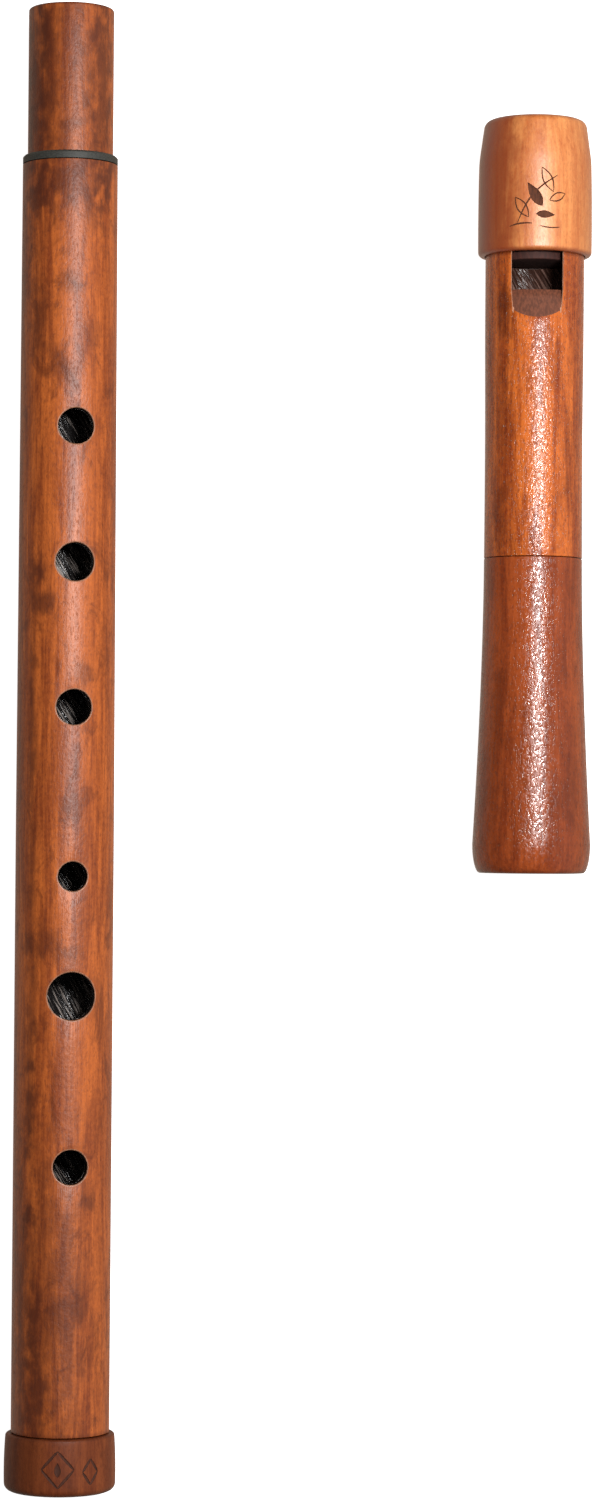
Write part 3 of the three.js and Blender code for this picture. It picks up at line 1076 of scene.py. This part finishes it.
class WHISTLE_OT_windway_cap(PieceOperator, bpy.types.Operator):
    """Turn the cap, cut the windway's entry and burn its sprig of leaves"""

    bl_idname = "whistle.windway_cap"
    bl_label = "Windway Cap"

    def make(self):
        inner_r = WINDOW_R + GLUE
        bend_y, bend_round = CAP_START_Y + 22.7, 30
        end_r, end_round = 12.0, 1.9
        corners = [(0, PLATE_Y, 0), (inner_r, PLATE_Y, 0.3), (inner_r, CAP_START_Y, 0.2),
                   (cap_r(CAP_START_Y), CAP_START_Y, 1.1)]
        corners += [(cap_r(y), y, 0) for y in stations(CAP_START_Y + 1.3, bend_y - 2.5, 1.5)]
        corners += [(cap_r(bend_y), bend_y, bend_round), (end_r, HEAD_LENGTH, end_round),
                    (0, HEAD_LENGTH, 0)]
        cap = turned(rounded(corners), closed=False)
        cap = carved(cap, windway_cutter(wood_bore_r() - 0.1, CAP_START_Y - 2))
        sprig = joined([groove(*path, cap_r) for path in self.sprig()])
        cap = carved(cap, sprig, crossing=True)
        finish = tints()
        # Painted shade: the cap is darkened down its left side, away from the soft box, and a
        # little at its right edge.
        patches = ((-10.5, 162.0, 15.0, 90.0, 0.86, 13.4),
                   (-12.6, 162.0, 7.0, 90.0, 0.60, 13.4),
                   (11.0, 162.0, 9.0, 90.0, 0.18, 13.4))
        stained = wood(
            "Cap Wood", HEAD_PLACE, finish.cap_pale, finish.cap_dark, 19.0, fleck=0.45,
            blotch=0.15, roughness=0.42, coat=0.75, coat_roughness=0.42, bump=0.35, ragged=0.3,
            # Painted shade: the deep colour of that side, and dark lines at the cap's lip and at
            # its blowing end.
            stain_and_shade=(0.25, 0.030, 0.003), patches=patches,
            shade_bands=((CAP_START_Y, 1.3, 0.75), (HEAD_LENGTH, 1.2, 0.55)))
        burnt = plain_wall("Burnt Sprig", HEAD_PLACE, (0.13, 0.035, 0.011), 0.85)
        finished(cap, "windway_cap", HEAD_PLACE, "head", [stained, burnt])

    @staticmethod
    def sprig():
        """A bowed stem with filled and outlined leaves over a short ground line."""
        foot = CAP_START_Y
        paths = [line((-5.0, foot + 6.4), (4.6, foot + 17.6), 0.2, 0.2, bend=1.5)]
        for base, tip, half_width, filled in (
            ((-2.3, 7.6), (-5.6, 12.4), 1.1, False),
            ((0.9, 10.2), (-2.6, 15.8), 1.35, True),
            ((3.6, 13.6), (0.8, 19.4), 1.1, False),
            ((-0.6, 8.4), (4.0, 8.2), 0.9, True),
            ((2.6, 11.6), (6.6, 13.4), 0.9, False),
        ):
            base = (base[0], base[1] + foot)
            tip = (tip[0], tip[1] + foot)
            if filled:
                paths.append(leaf(base, tip, half_width))
            else:
                paths.append(line(base, tip, 0.17, 0.17, bend=half_width))
                paths.append(line(base, tip, 0.17, 0.17, bend=-half_width))
        paths.append(line((-7.0, foot + 5.6), (-1.5, foot + 6.2), 0.2, 0.18, bend=0.3))
        paths.append(line((0.4, foot + 5.6), (5.2, foot + 5.4), 0.16, 0.16, bend=-0.3))
        return paths


class WHISTLE_OT_stage(PieceOperator, bpy.types.Operator):
    """Set the pale table, the soft box, the room and the camera"""

    bl_idname = "whistle.stage"
    bl_label = "Stage"

    def make(self):
        scene = bpy.context.scene
        stage = scene.whistle_stage
        scene.view_settings.view_transform = "Standard"
        self.table()
        self.room(scene, stage.side)
        self.soft_box("key box", (0.160, 0.095, 0.62), width=0.042, length=0.12,
                      power=stage.key)
        self.soft_box("upper box", (0.18, 0.25, 0.62), width=0.16, length=0.10,
                      power=stage.key * 0.2)
        self.camera(scene, stage)

    @staticmethod
    def table():
        """A pale table. It glows a little and throws no light back, so shadows stay faint."""
        bm = bmesh.new()
        bmesh.ops.create_grid(bm, x_segments=1, y_segments=1, size=3)
        mesh = bpy.data.meshes.new("table")
        bm.to_mesh(mesh)
        bm.free()
        material, graph = new_material("Table")
        close_surface(graph, {"Base Color": (0.7, 0.7, 0.7, 1), "Roughness": 0.9,
                              "Emission Color": (1, 1, 1, 1), "Emission Strength": 0.97})
        mesh.materials.append(material)
        table = bpy.data.objects.new("table", mesh)
        table.visible_diffuse = False
        table.visible_glossy = False
        bpy.context.scene.collection.objects.link(table)

    @staticmethod
    def room(scene, side):
        """White to the eye; to the piece, dim above, grey below and brighter on the right."""
        world = bpy.data.worlds.new("Room")
        world.use_nodes = True
        world.node_tree.nodes.clear()
        graph = Graph(world.node_tree)
        direction = graph.add("TexCoord").outputs["Generated"]
        parts = graph.add("SeparateXYZ", {0: direction}).outputs
        dim, bounced, mirrored = 0.11, 0.40, 0.22
        above = graph.math("ADD", dim, graph.band(parts[0], 0.3, 0.95, 0.0, side))
        below = graph.band(parts[2], 0.0, -0.15)
        rays = graph.add("LightPath").outputs
        glow = graph.math("MULTIPLY_ADD", rays["Is Glossy Ray"], mirrored, bounced)
        tone = graph.weighted((above, graph.math("SUBTRACT", 1.0, below)), (glow, below))
        eye = rays["Is Camera Ray"]
        strength = graph.math("MAXIMUM", tone, eye)
        warmth = graph.math("MULTIPLY", below, graph.math("SUBTRACT", 1.0, eye))
        tint = graph.mix(warmth, (1, 1, 1, 1), (1, 0.82, 0.66, 1))
        back = graph.add("Background", {"Color": tint, "Strength": strength})
        output = graph.add("OutputWorld")
        graph.tree.links.new(back.outputs[0], output.inputs[0])
        scene.world = world

    @staticmethod
    def soft_box(name, place, width, length, power):
        """A rectangular light that faces the middle of the table."""
        data = bpy.data.lights.new(name, "AREA")
        data.shape = "RECTANGLE"
        data.size = width
        data.size_y = length
        data.energy = power
        light = bpy.data.objects.new(name, data)
        light.location = place
        light.rotation_euler = Vector(place).to_track_quat("Z", "Y").to_euler()
        bpy.context.scene.collection.objects.link(light)

    @staticmethod
    def camera(scene, stage):
        data = bpy.data.cameras.new("camera")
        data.lens = stage.lens
        data.sensor_width = 36
        data.clip_end = 20
        camera = bpy.data.objects.new("camera", data)
        camera.location = (-0.00064, -0.01675, stage.height)
        camera.rotation_euler = Euler((math.radians(1.006), 0, math.radians(0.419)))
        scene.collection.objects.link(camera)
        scene.camera = camera


PIECE_OPERATORS = (
    WHISTLE_OT_body_tube,
    WHISTLE_OT_liners,
    WHISTLE_OT_foot_ferrule,
    WHISTLE_OT_shoulder_ring,
    WHISTLE_OT_socket_barrel,
    WHISTLE_OT_socket_cork,
    WHISTLE_OT_head_tube,
    WHISTLE_OT_fipple_block,
    WHISTLE_OT_windway_cap,
    WHISTLE_OT_stage,
)


class WHISTLE_PT_panel(bpy.types.Panel):
    """Lists the whistle's sizes, tints and pieces"""

    bl_idname = "WHISTLE_PT_panel"
    bl_label = "Low Whistle"
    bl_space_type = "VIEW_3D"
    bl_region_type = "UI"
    bl_category = "Whistle"

    def draw(self, context):
        for settings in (context.scene.whistle_sizes, context.scene.whistle_finish,
                         context.scene.whistle_stage):
            box = self.layout.box()
            for name in settings.bl_rna.properties.keys():
                if name not in {"rna_type", "name"}:
                    box.prop(settings, name)
        for operator in PIECE_OPERATORS:
            self.layout.operator(operator.bl_idname)


SETTINGS = {
    "whistle_sizes": WhistleSizes,
    "whistle_finish": WhistleFinish,
    "whistle_stage": WhistleStage,
}


def register():
    for group in SETTINGS.values():
        bpy.utils.register_class(group)
    for operator in PIECE_OPERATORS:
        bpy.utils.register_class(operator)
    bpy.utils.register_class(WHISTLE_PT_panel)
    for name, group in SETTINGS.items():
        setattr(bpy.types.Scene, name, bpy.props.PointerProperty(type=group))


def unregister():
    for name in SETTINGS:
        delattr(bpy.types.Scene, name)
    bpy.utils.unregister_class(WHISTLE_PT_panel)
    for operator in reversed(PIECE_OPERATORS):
        bpy.utils.unregister_class(operator)
    for group in reversed(SETTINGS.values()):
        bpy.utils.unregister_class(group)


def main():
    register()
    for operator in PIECE_OPERATORS:
        category, name = operator.bl_idname.split(".")
        getattr(getattr(bpy.ops, category), name)()


if __name__ == "__main__":
    main()
